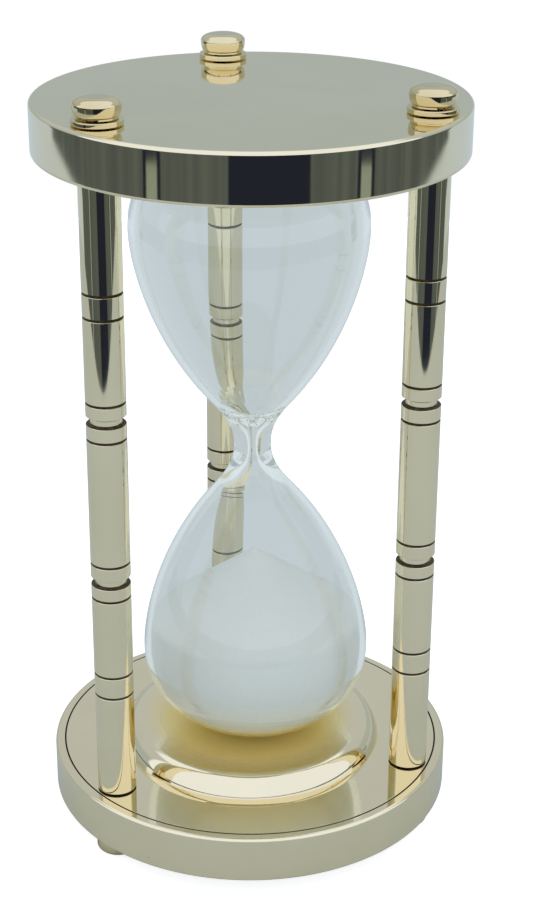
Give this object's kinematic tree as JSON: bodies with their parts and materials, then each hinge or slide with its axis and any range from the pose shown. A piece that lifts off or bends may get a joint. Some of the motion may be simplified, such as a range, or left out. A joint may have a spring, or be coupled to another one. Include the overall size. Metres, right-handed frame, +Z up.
{
  "type": "hourglass",
  "caption": "Hourglass: two round brass drums joined by turned pillars with domed nuts, holding a blown glass whose lower bulb is filled with white sand.",
  "frame": {"origin": "centre of the plane that the three foot nuts stand on", "axes": "+Z up along the pillars, +Y towards the back pillar, +X to the right"},
  "size_m": [0.107, 0.107, 0.2018],
  "materials": {
    "brass": "polished",
    "stud_steel": "zinc plated",
    "glass": "clear, faintly blue",
    "sand": "fine white grains",
    "felt": "felt",
    "cork": "cork"
  },
  "bodies": {
    "root": {"base_shell": "brass", "base_plate": "brass", "top_shell": "brass", "top_plate": "brass", "pillar_back": "brass", "pillar_left": "brass", "pillar_right": "brass", "top_stud_back": "stud_steel", "top_washer_back": "brass", "top_nut_back": "brass", "foot_stud_back": "stud_steel", "foot_washer_back": "brass", "foot_nut_back": "brass", "top_stud_left": "stud_steel", "top_washer_left": "brass", "top_nut_left": "brass", "foot_stud_left": "stud_steel", "foot_washer_left": "brass", "foot_nut_left": "brass", "top_stud_right": "stud_steel", "top_washer_right": "brass", "top_nut_right": "brass", "foot_stud_right": "stud_steel", "foot_washer_right": "brass", "foot_nut_right": "brass", "glass": "glass", "sand": "sand", "fill_plug": "cork", "base_pad": "felt", "top_pad": "felt"}
  },
  "joints": []
}
